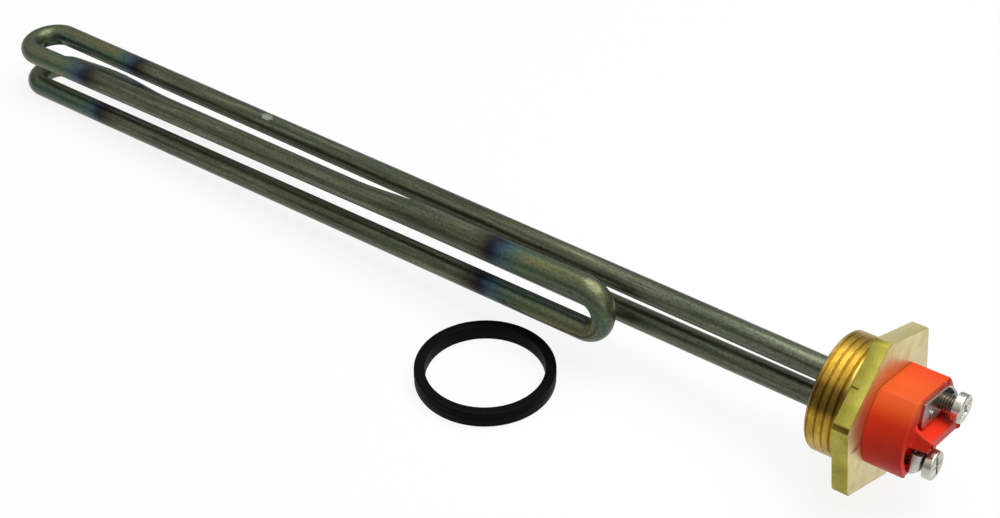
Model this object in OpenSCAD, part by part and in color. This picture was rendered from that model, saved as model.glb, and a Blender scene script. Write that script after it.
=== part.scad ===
// Screw plug immersion heater with a folded-back sheathed element.
// Origin: centre of the plug's sealing face. +X leaves through the terminals, +Z is up, the element runs to -X.

/* [Screw plug] */
// Outside diameter of the plug's pipe thread
thread_d = 33.2; // [32:0.1:36]
// Length of the threaded barrel
thread_len = 10.7; // [8:0.1:20]
// Chamfer at the free end of the barrel
thread_chamfer = 0.7; // [0.3:0.1:1.5]
// Width of the hexagon across its flats
hex_af = 42; // [40:0.1:46]
// Thickness of the hexagon
hex_t = 4.5; // [3:0.1:8]
// Depth turned off each corner of the hexagon
corner_trim = 0.45; // [0.1:0.05:1.6]
// Turn of the hexagon from standing on a corner
hex_turn = 8; // [-25:1:25]

/* [Heating element] */
// Outside diameter of the sheath
sheath_d = 6.8; // [6:0.1:7.2]
// Wall of the sheath
sheath_wall = 0.6; // [0.4:0.05:0.8]
// Reach of the element from the sealing face to its far end
reach = 323; // [240:1:480]
// Distance from the sealing face to the nose of the near fold
fold_reach = 73.3; // [40:0.1:120]
// Distance between the two legs in the plug
plug_pitch = 9.9; // [9:0.1:12]
// Height between the upper and lower legs at the far bends
far_pitch = 12.5; // [11:0.1:14]
// Height between the upper and lower legs at the near fold
fold_pitch = 13.3; // [12:0.1:15]
// Width of each far bend between its two legs
bend_pitch = 15; // [13:0.1:17]
// Sideways splay of the plug legs at the far bends
splay = 6; // [3:0.1:8]
// Sideways offset of the near fold from the axis
fold_offset = 10.2; // [8:0.1:11]
// Straight stub of each leg between the barrel and the splay
leg_stub = 4; // [3:0.1:10]
// Radius of the slight bend where a leg starts to splay
leg_bend_r = 60; // [30:1:120]
// Height of the sheath's ends above the face of the hexagon
sheath_rise = 2.9; // [1.5:0.1:3.5]

/* [Element inside] */
// Diameter of the cold pins
pin_d = 2.4; // [2:0.1:3]
// Outside diameter of the wound resistance wire
coil_d = 3; // [2.6:0.1:3.4]
// Length of the cold pins from the sealing face into the legs
cold_len = 46; // [30:1:60]
// Depth of the seal in each end of the sheath
seal_len = 6; // [4:0.1:9]
// Height of the pin's welded end above its terminal strap
pin_proud = 0.4; // [0.1:0.1:1]

/* [Terminal block] */
// Diameter of the block's round ends
block_d = 28.4; // [28:0.1:32]
// Width of the block across its flats
block_flats = 22.2; // [21.6:0.1:25]
// Height of the block's end walls
block_h = 11; // [10.9:0.1:14]
// Turn of the block about the axis
block_turn = -12; // [-20:1:0]
// Thickness of the block's end walls
block_wall = 2; // [1.2:0.1:2.4]
// Radius of the rounded edge round the block's top
block_edge_r = 0.8; // [0.3:0.1:1]
// Depth from the end walls down to the shelves
shelf_drop = 0.4; // [0.2:0.1:1]
// Distance from the middle of the block to the closed end of each terminal recess
recess_back = 7.8; // [7.4:0.1:8.2]
// Distance from the middle of the block to the free end of each shelf
shelf_end = 7.2; // [6.9:0.1:7.5]
// Width of the slot between each shelf and the barrier
slot_w = 2; // [1.4:0.1:2.2]
// Height of the floor between the shelves and the end walls
floor_h = 6; // [5:0.1:7]
// Thickness of the barrier between the terminals
barrier_t = 3.4; // [2.8:0.1:3.6]
// Height of the barrier
barrier_h = 15.5; // [13:0.1:18]
// Length of the barrier's top edge
barrier_top = 17.6; // [17:0.1:18.4]
// Length of the barrier at its foot
barrier_foot = 19.6; // [19:0.1:20.4]
// Height at which the ends of the barrier start to slope
barrier_slope_h = 10; // [9:0.1:10.6]
// Distance from the middle of the block to the foot of the buttress at each end of the barrier
buttress_w = 3.9; // [3:0.1:4.4]
// Distance of the buttress's top below the top of the barrier
buttress_drop = 0.4; // [0.2:0.1:1]
// Thickness of the terminal strap
strap_t = 0.85; // [0.7:0.05:1]
// Distance of the strap's inner edge from the middle of the block
strap_inner = 2; // [1.8:0.1:2.4]
// Width of the terminal strap beside the cold pin
strap_w = 7.35; // [7.1:0.05:7.6]
// Width of the strap's narrower end with the lip
lip_w = 5.7; // [5.5:0.1:5.9]
// Length of the terminal strap
strap_len = 14.1; // [13.6:0.1:14.6]
// Distance from the screw to the step where the strap narrows
strap_step = 0.4; // [0:0.1:1]
// Rounding of the two inner corners of the strap's wider part
strap_round = 1.8; // [1.2:0.1:2]
// Distance from the screw to the strap's lip
strap_margin = 3.6; // [3.4:0.1:3.8]
// Height of the lip above the shelf
lip_h = 3.4; // [2.8:0.1:3.6]
// Length of the part of the lip that is turned back
lip_back = 1.9; // [1.7:0.1:2.1]
// Outside rounding of the lip's two bends
lip_bend_r = 0.9; // [0.9:0.05:1]
// Width cut off the lip's outer top corner
lip_cut_w = 1.5; // [1:0.1:2]
// Height of that cut
lip_cut_h = 1.8; // [1.4:0.1:2]
// Diameter of the terminal screw's thread
screw_d = 4.8; // [4:0.1:5]
// Length of the terminal screw under its head
screw_len = 8; // [7:0.1:8.3]
// Chamfer at the tip of the terminal screw
screw_tip = 0.5; // [0.2:0.1:0.8]
// Diameter of the screw head
head_d = 8; // [7:0.1:8.4]
// Height of the screw head
head_h = 2.45; // [2:0.05:3]
// Radius of the rounded edge of the screw head
head_edge_r = 0.7; // [0.3:0.1:1]
// Width of the slot in the screw head
drive_w = 1.2; // [0.8:0.1:1.6]
// Depth of the slot in the screw head
drive_depth = 1.1; // [0.6:0.1:1.4]
// Length of the recess that crosses the slot
cross_len = 4.6; // [3:0.1:5.4]
// Distance of the screw from the axis along the flats
screw_along = 4.5; // [4.3:0.1:4.8]
// Distance of the screws from the middle of the block, across it
screw_across = 6.5; // [6.3:0.1:6.7]
// Gap under the head of the upper screw
upper_gap = 1.35; // [0.2:0.05:2.4]
// Gap under the head of the lower screw
lower_gap = 0.55; // [0.2:0.05:2.4]
// Turn of the upper screw's slot
upper_drive_turn = 35; // [0:1:180]
// Turn of the lower screw's slot
lower_drive_turn = 110; // [0:1:180]

/* [Gasket] */
// Outside diameter of the gasket
gasket_od = 39.7; // [38:0.1:44]
// Thickness of the gasket
gasket_t = 4.8; // [3:0.1:6]
// Radius of the gasket's edges
gasket_edge_r = 0.4; // [0.2:0.1:1]
// Clearance of the gasket's hole round the thread, on the diameter
gasket_fit = 0.4; // [0.2:0.1:1.2]
// Place of the loose gasket along the element
gasket_x = -102; // [-180:1:-90]
// Place of the loose gasket beside the element
gasket_y = -31.5; // [-60:0.5:-31.5]

/* [Fits] */
// Radial clearance of brazed, moulded and packed fits
fit = 0.1; // [0.05:0.01:0.15]
// Radial running clearance of the terminal screws
screw_fit = 0.05; // [0.03:0.01:0.1]
// Clearance round and under the tip of each terminal screw
screw_room = 0.5; // [0.3:0.1:0.6]

/* [Hidden] */
$fn = 96;
UPPER = 1;
LOWER = -1;

// Hexagon: radius of its corners, of the turning that trims them, and its lowest point
hex_corner_r = hex_af / 2 / cos(30);
hex_turned_r = hex_corner_r - corner_trim;
trim_half_angle = 30 - acos(hex_af / 2 / hex_turned_r);
hex_low = hex_turned_r * cos(max(0, abs(hex_turn) - trim_half_angle));

// Heights above the sealing face
sheath_end_x = hex_t + sheath_rise;
shelf_h = block_h - shelf_drop;
pin_end_x = hex_t + shelf_h + strap_t + pin_proud;

// Inside of the sheath
bore_r = sheath_d / 2 - sheath_wall;
fill_r = bore_r - fit;
fill_bore_r = max(coil_d, pin_d) / 2 + fit;

// Element route: corners of the bent tube, from the upper end to the lower end
far_x = -(reach - sheath_d / 2);
fold_x = -(fold_reach + sheath_d / 2);
splay_x = -(thread_len + leg_stub);
bend_y = splay - bend_pitch;
function upper_corners() = [
    [sheath_end_x, 0, plug_pitch / 2],
    [splay_x, 0, plug_pitch / 2],
    [far_x, splay, far_pitch / 2],
    [far_x, bend_y, far_pitch / 2],
    [fold_x, -fold_offset, fold_pitch / 2]
];
function flipped(p) = [p.x, p.y, -p.z];
function route(upper) = concat(upper, [for (i = [len(upper) - 1:-1:0]) flipped(upper[i])]);
sheath_route = route(upper_corners());

// Point of the upper leg where the cold pin ends, and the part routes cut there
leg_dir = unit(upper_corners()[2] - upper_corners()[1]);
cold_end = upper_corners()[1] + leg_dir * (cold_len + splay_x);
seal_end = [sheath_end_x - seal_len, 0, plug_pitch / 2];
pin_route = [[pin_end_x, 0, plug_pitch / 2], upper_corners()[1], cold_end - leg_dir * fit];
fill_route = route(concat([seal_end], tail(upper_corners())));
coil_route = route(concat([cold_end], tail(tail(upper_corners()))));

// Terminal places in the block's own frame, for the upper terminal
pin_along = plug_pitch / 2 * sin(block_turn);
pin_across = plug_pitch / 2 * cos(block_turn);
shelf_across = barrier_t / 2 + slot_w;
strap_outer = strap_inner + strap_w;
strap_end = screw_along + strap_margin;
lip_top = shelf_h + lip_h;

// Surface that the heater lies on: through the hexagon's lowest corner and the far bends
far_low = far_pitch / 2 + sheath_d / 2;
lie_angle = atan((hex_low - far_low) / -far_x);

// Bends are a hair thinner than the straight runs, and reach a little way into them
bend_thin = 0.1;
bend_bite = 0.4;

// Vector helpers
function unit(v) = v / norm(v);
function tail(list) = [for (i = [1:len(list) - 1]) list[i]];
function heading(route, i) = unit(route[i] - route[i - 1]);
function turn_at(route, i) = acos(heading(route, i) * heading(route, i + 1));

// A pair of sharp corners is one round return bend; a lone slight corner is a gentle bend
function sharp(route, i) = i > 0 && i < len(route) - 1 && turn_at(route, i) > 45;
function starts_return(route, i) =
    sharp(route, i) && len([for (k = [1:1:i - 1]) if (sharp(route, k)) k]) % 2 == 0;
function return_r(route, i) =
    norm(route[i + 1] - route[i]) / (tan(turn_at(route, i) / 2) + tan(turn_at(route, i + 1) / 2));
function corner_r(route, i) =
    !sharp(route, i) ? leg_bend_r : return_r(route, starts_return(route, i) ? i : i - 1);
function setback(route, i) =
    i == 0 || i == len(route) - 1 ? 0 : corner_r(route, i) * tan(turn_at(route, i) / 2);

// Moves its children so that x, y and z run along the given unit vectors from a point
module placed(origin, x, y, z) {
    multmatrix([
        [x.x, y.x, z.x, origin.x],
        [x.y, y.y, z.y, origin.y],
        [x.z, y.z, z.z, origin.z],
        [0, 0, 0, 1]
    ])
        children();
}

// Ring or disc section of a tube
module tube_section(r, bore) {
    difference() {
        circle(r = r);
        if (bore > 0) circle(r = bore);
    }
}

// Straight tube between two points
module tube_run(from, to, r, bore) {
    z = unit(to - from);
    side = abs(z.z) < 0.9 ? [0, 0, 1] : [0, 1, 0];
    x = unit(cross(side, z));
    placed(from, x, cross(z, x), z)
        linear_extrude(norm(to - from)) tube_section(r, bore);
}

// Round arc of a tube about a centre, from one angle to another, counted from outward towards along
module tube_arc(centre, outward, along, bend_r, from, to, r, bore) {
    bite = bend_bite / bend_r * 180 / PI;
    placed(centre, outward, along, cross(outward, along))
        rotate(from - bite) rotate_extrude(angle = to - from + 2 * bite)
            translate([bend_r, 0]) tube_section(r - bend_thin, bore > 0 ? bore + bend_thin : 0);
}

// Gentle bend at corner i
module gentle_bend(route, i, r, bore) {
    along = heading(route, i);
    outward = cross(along, unit(cross(along, heading(route, i + 1))));
    centre = route[i] - along * setback(route, i) - outward * corner_r(route, i);
    tube_arc(centre, outward, along, corner_r(route, i), 0, turn_at(route, i), r, bore);
}

// Return bend round corners i and i + 1
module return_bend(route, i, r, bore) {
    along = heading(route, i + 1);
    back = heading(route, i) - heading(route, i + 2);
    outward = unit(back - along * (back * along));
    crown = route[i] + along * setback(route, i);
    tube_arc(crown - outward * corner_r(route, i), outward, along, corner_r(route, i),
        -turn_at(route, i), turn_at(route, i + 1), r, bore);
}

// Tube along a route of corners: straight runs joined by gentle and return bends
module bent_tube(route, r, bore = 0) {
    for (i = [1:len(route) - 1]) if (!starts_return(route, i - 1)) {
        start = route[i - 1] + heading(route, i) * setback(route, i - 1);
        end = route[i] - heading(route, i) * setback(route, i);
        tube_run(start, end, r, bore);
    }
    for (i = [1:len(route) - 2]) {
        if (starts_return(route, i)) return_bend(route, i, r, bore);
        if (!sharp(route, i)) gentle_bend(route, i, r, bore);
    }
}

// Both legs of the element: children drawn at the upper leg, or turned to the lower one
module at_leg(side) {
    mirror([0, 0, side == LOWER ? 1 : 0]) children();
}

// Stands children on the hexagon's face: x along the block's flats, y across them, z outward
module on_block(side = UPPER) {
    translate([hex_t, 0, 0]) rotate([block_turn + (side == LOWER ? 180 : 0), 0, 0])
        rotate([90, 0, 90]) children();
}

// Hexagon with turned corners, threaded barrel and the two bores for the legs
module screw_plug() {
    leg_bore_r = sheath_d / 2 + fit;
    color("darkkhaki")
    difference() {
        union() {
            intersection() {
                rotate([hex_turn, 0, 0]) rotate([0, 90, 0])
                    cylinder(r = hex_corner_r, h = hex_t, $fn = 6);
                rotate([0, 90, 0]) cylinder(r = hex_turned_r, h = hex_t);
            }
            rotate([0, -90, 0]) {
                cylinder(d = thread_d, h = thread_len - thread_chamfer);
                translate([0, 0, thread_len - thread_chamfer])
                    cylinder(r1 = thread_d / 2, r2 = thread_d / 2 - thread_chamfer, h = thread_chamfer);
            }
        }
        for (side = [UPPER, LOWER])
            translate([-thread_len - fit, 0, side * plug_pitch / 2]) rotate([0, 90, 0])
                cylinder(r = leg_bore_r, h = thread_len + hex_t + 2 * fit);
    }
}

// Sheath: one tube from the upper end, out and back four times, to the lower end
module element_sheath() {
    color("dimgray") bent_tube(sheath_route, sheath_d / 2, bore_r);
}

// Packed insulation between the sheath and what it carries
module insulation_core() {
    color("ivory") bent_tube(fill_route, fill_r, fill_bore_r);
}

// Envelope of the wound resistance wire between the cold pins
module resistance_coil() {
    color("slategray") bent_tube(coil_route, coil_d / 2);
}

// Cold pin from the terminal strap into its leg
module cold_pin(side) {
    color("silver") at_leg(side) bent_tube(pin_route, pin_d / 2);
}

// Seal round the pin in the end of the sheath
module end_seal(side) {
    color("firebrick") at_leg(side)
        tube_run(seal_end + [fit, 0, 0], [sheath_end_x, 0, plug_pitch / 2], fill_r, pin_d / 2 + fit);
}

// Slab in side view, standing on the x axis, with its two top corners rounded
module round_top(w, h, r) {
    translate([-w / 2, 0]) square([w, h - r]);
    translate([r - w / 2, 0]) square([w - 2 * r, h]);
    for (s = [-1, 1]) translate([s * (w / 2 - r), h - r]) circle(r = r);
}

// Round drum with a rounded top edge
module round_drum(r, h, edge_r) {
    rotate_extrude() intersection() {
        round_top(2 * r, h, edge_r);
        square([r, h]);
    }
}

// Outside of the block: a drum cut by two flats
module block_outside() {
    intersection() {
        round_drum(block_d / 2, block_h, block_edge_r);
        rotate([90, 0, 90]) linear_extrude(block_d, center = true)
            round_top(block_flats, block_h, block_edge_r);
    }
}

// Wall between the terminals, with a sloping buttress beside each recess's closed end
module barrier() {
    top_run = barrier_top / 2;
    foot_run = barrier_foot / 2;
    intersection() {
        rotate([90, 0, 0]) linear_extrude(block_d, center = true) polygon([
            [-foot_run, 0],
            [foot_run, 0],
            [foot_run, barrier_slope_h],
            [top_run, barrier_h],
            [-top_run, barrier_h],
            [-foot_run, barrier_slope_h]
        ]);
        union() {
            translate([-block_d / 2, -barrier_t / 2, 0]) cube([block_d, barrier_t, barrier_h]);
            for (turn = [0, 180]) rotate(turn) translate([-block_d / 2, 0, 0]) rotate([90, 0, 90])
                linear_extrude(block_d / 2 - recess_back) polygon([
                    [0, barrier_slope_h],
                    [buttress_w, barrier_slope_h],
                    [buttress_w, block_h],
                    [barrier_t / 2 - fit, barrier_h - buttress_drop],
                    [0, barrier_h - buttress_drop]
                ]);
        }
    }
}

// Hollow beside one shelf: a slot along the barrier and the room beyond the shelf's free end
module pocket_outline() {
    inside_r = block_d / 2 - block_wall;
    difference() {
        intersection() {
            circle(r = inside_r);
            translate([-recess_back, barrier_t / 2])
                square([recess_back + inside_r, (block_flats - barrier_t) / 2 - block_wall]);
        }
        translate([-block_d, shelf_across]) square([block_d + shelf_end, block_d]);
    }
}

// Holes of one terminal: sheath end, cold pin and the room for the screw
module terminal_holes() {
    translate([pin_along, pin_across, 0]) {
        cylinder(r = sheath_d / 2 + fit, h = sheath_rise + fit);
        cylinder(r = pin_d / 2 + fit, h = block_h);
    }
    translate([screw_along, screw_across, lip_top - screw_len - screw_room])
        cylinder(r = screw_d / 2 + screw_room, h = block_h);
}

// Moulded block that carries the terminals
module terminal_block() {
    color("orangered") on_block() difference() {
        union() {
            block_outside();
            barrier();
        }
        for (turn = [0, 180]) rotate(turn) {
            translate([0, 0, floor_h]) linear_extrude(block_h) pocket_outline();
            translate([-recess_back, shelf_across - fit, shelf_h])
                cube([recess_back + strap_end + 2 * fit, block_d, block_h]);
            terminal_holes();
        }
    }
}

// Square with its two corners on the right rounded
module round_end(length, height, r) {
    square([length - r, height]);
    translate([0, r]) square([length, height - 2 * r]);
    for (y = [r, height - r]) translate([length - r, y]) circle(r = r);
}

// Side view of the strap: a flat sheet whose end is bent up and back into a lip
module strap_side() {
    start = strap_end - strap_len;
    difference() {
        translate([start, 0]) round_end(strap_len, lip_h, lip_bend_r);
        translate([start - strap_t, strap_t])
            round_end(strap_len, lip_h - 2 * strap_t, lip_bend_r - strap_t + fit);
        translate([start - fit, lip_h / 2]) square([strap_len - lip_back + fit, lip_h]);
    }
}

// Strap seen from above: wide beside the pin, rounded there on its inner side, narrower at the lip
module strap_plan() {
    start = strap_end - strap_len;
    wide_len = strap_step + screw_along - start;
    translate([start, strap_inner]) {
        translate([0, strap_round]) square([wide_len, strap_w - strap_round]);
        translate([strap_round, 0]) square([wide_len - 2 * strap_round, strap_w]);
        for (x = [strap_round, wide_len - strap_round]) translate([x, strap_round]) circle(r = strap_round);
        translate([0, strap_w - lip_w]) square([strap_len, lip_w]);
    }
}

// Terminal strap with a lip beyond its screw
module terminal_strap(side) {
    color("gainsboro") on_block(side) difference() {
        intersection() {
            translate([0, strap_outer, shelf_h]) rotate([90, 0, 0]) linear_extrude(strap_w) strap_side();
            translate([0, 0, shelf_h - fit]) linear_extrude(lip_h + 2 * fit) strap_plan();
        }
        translate([strap_end - lip_h, strap_outer, lip_top]) rotate([90, 0, 90])
            linear_extrude(2 * lip_h)
                polygon([[-lip_cut_w, 0], [0, -lip_cut_h], [fit, -lip_cut_h], [fit, fit], [-lip_cut_w, fit]]);
        translate([screw_along, screw_across, shelf_h - fit])
            cylinder(r = screw_d / 2 + screw_fit, h = lip_h + 2 * fit);
        translate([pin_along, pin_across, shelf_h - fit])
            cylinder(r = pin_d / 2 + fit, h = strap_t + 2 * fit);
    }
}

// Terminal screw with a slot and a shorter cross recess, backed out by the gap under its head
module terminal_screw(side, gap, drive_turn) {
    color("silver") on_block(side) translate([screw_along, screw_across, lip_top + gap]) {
        translate([0, 0, screw_tip - screw_len]) cylinder(d = screw_d, h = screw_len - screw_tip);
        translate([0, 0, -screw_len])
            cylinder(r1 = screw_d / 2 - screw_tip, r2 = screw_d / 2, h = screw_tip);
        difference() {
            round_drum(head_d / 2, head_h, head_edge_r);
            translate([0, 0, head_h]) rotate(drive_turn) {
                cube([head_d + drive_w, drive_w, 2 * drive_depth], center = true);
                cube([drive_w, cross_len, 2 * drive_depth], center = true);
            }
        }
    }
}

// Gasket taken off the plug, lying on the surface that carries the heater
module gasket() {
    hole_r = (thread_d + gasket_fit) / 2;
    ring_w = gasket_od / 2 - hole_r;
    color("dimgray") translate([0, 0, -hex_low]) rotate([0, lie_angle, 0])
        translate([gasket_x, gasket_y, gasket_t / 2]) rotate_extrude()
            translate([hole_r + ring_w / 2, 0]) {
                square([ring_w - 2 * gasket_edge_r, gasket_t], center = true);
                square([ring_w, gasket_t - 2 * gasket_edge_r], center = true);
                for (x = [-1, 1], y = [-1, 1])
                    translate([x * (ring_w / 2 - gasket_edge_r), y * (gasket_t / 2 - gasket_edge_r)])
                        circle(r = gasket_edge_r);
            }
}

screw_plug();
element_sheath();
insulation_core();
resistance_coil();
cold_pin(UPPER);  // cold_pin_upper
cold_pin(LOWER);  // cold_pin_lower
end_seal(UPPER);  // end_seal_upper
end_seal(LOWER);  // end_seal_lower
terminal_block();
terminal_strap(UPPER);  // terminal_strap_upper
terminal_strap(LOWER);  // terminal_strap_lower
terminal_screw(UPPER, upper_gap, upper_drive_turn);  // terminal_screw_upper
terminal_screw(LOWER, lower_gap, lower_drive_turn);  // terminal_screw_lower
gasket();
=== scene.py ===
import bmesh
import bpy
import numpy as np
from mathutils import Matrix, Vector


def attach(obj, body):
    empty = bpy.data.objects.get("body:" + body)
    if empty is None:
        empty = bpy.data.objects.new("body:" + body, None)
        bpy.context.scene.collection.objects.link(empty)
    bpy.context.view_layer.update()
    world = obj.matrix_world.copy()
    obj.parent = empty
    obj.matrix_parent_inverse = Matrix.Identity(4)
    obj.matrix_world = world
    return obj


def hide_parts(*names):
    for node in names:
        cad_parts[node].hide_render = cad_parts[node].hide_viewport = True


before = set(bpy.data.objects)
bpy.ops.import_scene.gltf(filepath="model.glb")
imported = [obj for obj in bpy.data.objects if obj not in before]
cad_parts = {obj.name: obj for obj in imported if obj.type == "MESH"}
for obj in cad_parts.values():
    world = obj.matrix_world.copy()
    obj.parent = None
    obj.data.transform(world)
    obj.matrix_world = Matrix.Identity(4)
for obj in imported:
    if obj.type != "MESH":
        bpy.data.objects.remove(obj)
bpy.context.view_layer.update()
scene = bpy.context.scene
scene.view_settings.view_transform = "Standard"
mm = 0.001
print("frame loaded, nodes:", len(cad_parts))


def unit(v):
    v = np.asarray(v, float)
    return v / np.linalg.norm(v, axis=-1, keepdims=True)


def tone(red, green, blue):
    # screen colour 0..255 to the linear colour a shader takes
    c = np.array([red, green, blue]) / 255
    c = np.where(c <= 0.04045, c / 12.92, ((c + 0.055) / 1.055) ** 2.4)
    return (*c.tolist(), 1.0)


def smoothStep(low, high, x):
    # 0 below low, 1 above high, 3t^2 - 2t^3 between
    t = np.clip((x - low) / (high - low), 0, 1)
    return t * t * (3 - 2 * t)


def gridQuads(rows, cols, wrapRows=False, wrapCols=False):
    # the four corner numbers of every cell of a rows x cols grid; a wrapped side joins last to first
    i, j = np.meshgrid(np.arange(rows if wrapRows else rows - 1),
                       np.arange(cols if wrapCols else cols - 1), indexing="ij")
    iNext, jNext = (i + 1) % rows, (j + 1) % cols
    cells = np.stack([i * cols + j, i * cols + jNext, iNext * cols + jNext, iNext * cols + j], -1)
    return cells.reshape(-1, 4)


def joined(*grids):
    # several (points, quads) into one pair
    points, quads, start = [], [], 0
    for p, q in grids:
        points.append(p.reshape(-1, 3))
        quads.append(q + start)
        start += len(points[-1])
    return np.concatenate(points), np.concatenate(quads)


def ruled(inner, outer):
    # flat or slanting band between two closed curves of the same number of points
    return np.stack([inner, outer]), gridQuads(2, len(inner), wrapCols=True)


def closeUp(mesh, mergeAt=1e-6):
    # points that coincide become one, and every face looks outwards
    bm = bmesh.new()
    bm.from_mesh(mesh)
    bmesh.ops.remove_doubles(bm, verts=bm.verts, dist=mergeAt)
    bmesh.ops.dissolve_degenerate(bm, edges=bm.edges, dist=mergeAt / 2)
    bmesh.ops.recalc_face_normals(bm, faces=bm.faces)
    bm.to_mesh(mesh)
    bm.free()


def newPiece(name, points, quads, sharpAngle=35, merge=True):
    # millimetre arrays to an object at the origin, smooth but for edges turning over sharpAngle degrees
    mesh = bpy.data.meshes.new(name)
    mesh.from_pydata((np.asarray(points).reshape(-1, 3) * mm).tolist(), [], np.asarray(quads).tolist())
    if merge:
        closeUp(mesh)
    mesh.polygons.foreach_set("use_smooth", np.ones(len(mesh.polygons), bool))
    mesh.set_sharp_from_angle(angle=np.radians(sharpAngle))
    piece = bpy.data.objects.new(name, mesh)
    scene.collection.objects.link(piece)
    return piece


def pointValues(piece, name, values):
    # one number for each point, for the materials to read
    layer = piece.data.attributes.new(name, "FLOAT", "POINT")
    layer.data.foreach_set("value", values.astype(np.float32))


def roundMax(a, b, r):
    # inside both shapes, the edge between them rounded to radius r
    return np.minimum(np.maximum(a, b), -r) + np.hypot(np.maximum(a + r, 0), np.maximum(b + r, 0))


def roundMin(a, b, r):
    # inside either shape, the corner between them filled to radius r
    return -roundMax(-a, -b, r)


def slab(t, low, high):
    return np.maximum(low - t, t - high)


def netSurface(field, low, high, cell):
    # skin of a shape given as a distance field, negative inside: one point in every grid cell that the skin
    # passes through, drawn onto it along the field's slope, and one quad round every grid edge that it cuts
    rounds, nudge, leastSlope, room = 5, 1e-3, 0.2, 0.6 * cell
    axes = [np.arange(low[k], high[k] + cell, cell) for k in range(3)]
    grid = np.stack(np.meshgrid(*axes, indexing="ij"), -1)
    inside = field(grid) < 0
    corners = sum(inside[i:i - 1 or None, j:j - 1 or None, k:k - 1 or None].astype(np.int8)
                  for i in (0, 1) for j in (0, 1) for k in (0, 1))
    mixed = (corners > 0) & (corners < 8)
    number = np.full(mixed.shape, -1)
    number[mixed] = np.arange(np.count_nonzero(mixed))
    middle = grid[:-1, :-1, :-1][mixed] + cell / 2
    points = middle.copy()

    def slope(at):
        return np.stack([field(at + nudge * e) - field(at - nudge * e) for e in np.eye(3)], -1) / (2 * nudge)

    for _ in range(rounds):
        rise = slope(points)
        points = points - (field(points) / np.maximum(np.sum(rise ** 2, -1), leastSlope))[:, None] * rise
        points = np.clip(points, middle - room, middle + room)
    quads = []
    for axis in range(3):
        order = (axis, (axis + 1) % 3, (axis + 2) % 3)
        filled, cells = inside.transpose(order), number.transpose(order)
        start, end = filled[:-1, 1:-1, 1:-1], filled[1:, 1:-1, 1:-1]
        around = np.stack([cells[:, :-1, :-1], cells[:, 1:, :-1], cells[:, 1:, 1:], cells[:, :-1, 1:]], -1)
        quads += [around[start & ~end], around[end & ~start][:, ::-1]]
    return points, np.concatenate(quads), unit(slope(points))


def netPiece(name, field, low, high, margin, cell, place, turn):
    # field piece in millimetres of its own frame, carried to the part's frame by a turn and a shift;
    # low and high are the corners of the shape, and the grid goes past them by the margin
    low, high = np.asarray(low, float) - margin, np.asarray(high, float) + margin
    points, quads, normals = netSurface(field, low, high, cell)
    piece = newPiece(name, points @ turn.T + place, quads, 180, merge=False)
    piece.data.normals_split_custom_set_from_vertices((normals @ turn.T).tolist())
    return piece


def join(tree, node, **inputs):
    # sockets set to values or joined to other sockets; _ is a space, or comes before a socket's number
    for key, value in inputs.items():
        socket = node.inputs[int(key[1:]) if key[1:].isdigit() else key.replace("_", " ")]
        if isinstance(value, bpy.types.NodeSocket):
            tree.links.new(value, socket)
        else:
            socket.default_value = value
    return node


def put(tree, kind, settings=None, **inputs):
    # a new node with its settings and its sockets
    node = tree.nodes.new("ShaderNode" + kind)
    for key, value in (settings or {}).items():
        setattr(node, key, value)
    return join(tree, node, **inputs)


def calc(tree, how, *values):
    return put(tree, "Math", {"operation": how}, **{f"_{k}": v for k, v in enumerate(values)}).outputs[0]


def vectorCalc(tree, how, *values):
    # the node's outputs: Vector, or Value for a length or a dot product
    return put(tree, "VectorMath", {"operation": how}, **{f"_{k}": v for k, v in enumerate(values)}).outputs


def mapped(tree, value, low, high, toLow=0.0, toHigh=1.0):
    # low..high to toLow..toHigh, held at both ends
    return put(tree, "MapRange", Value=value, From_Min=low, From_Max=high, To_Min=toLow,
               To_Max=toHigh).outputs["Result"]


def scaled(tree, value, low, high):
    # 0..1 to low..high
    return mapped(tree, value, 0.0, 1.0, low, high)


def noise(tree, place, scale, detail, rough=0.5):
    return put(tree, "TexNoise", Vector=place, Scale=scale, Detail=detail, Roughness=rough).outputs["Fac"]


def ramp(tree, value, stops):
    # each stop is a place from 0 to 1 with a grey 0..1 or a screen colour
    node = put(tree, "ValToRGB", Fac=value)
    while len(node.color_ramp.elements) < len(stops):
        node.color_ramp.elements.new(0.5)
    for element, (place, colour) in zip(node.color_ramp.elements, stops):
        element.position = place
        element.color = tone(*colour) if isinstance(colour, tuple) else (colour, colour, colour, 1)
    return node.outputs["Color"]


def blended(tree, share, under, over, how="MIX"):
    # over is a socket or a screen colour
    over = tone(*over) if isinstance(over, tuple) else over
    return put(tree, "Mix", {"data_type": "RGBA", "blend_type": how}, _0=share, _6=under, _7=over).outputs[2]


def newGroup(name, inputs, outputs):
    tree = bpy.data.node_groups.new(name, "ShaderNodeTree")
    for socketName, kind, value in inputs:
        socket = tree.interface.new_socket(socketName, in_out="INPUT", socket_type="NodeSocket" + kind)
        if value is not None:
            socket.default_value = value
    for socketName in outputs:
        tree.interface.new_socket(socketName, in_out="OUTPUT", socket_type="NodeSocketFloat")
    return tree, tree.nodes.new("NodeGroupInput").outputs, tree.nodes.new("NodeGroupOutput").inputs


def placeGroup(tree, group, **inputs):
    return put(tree, "Group", {"node_tree": group}, **inputs).outputs


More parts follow.
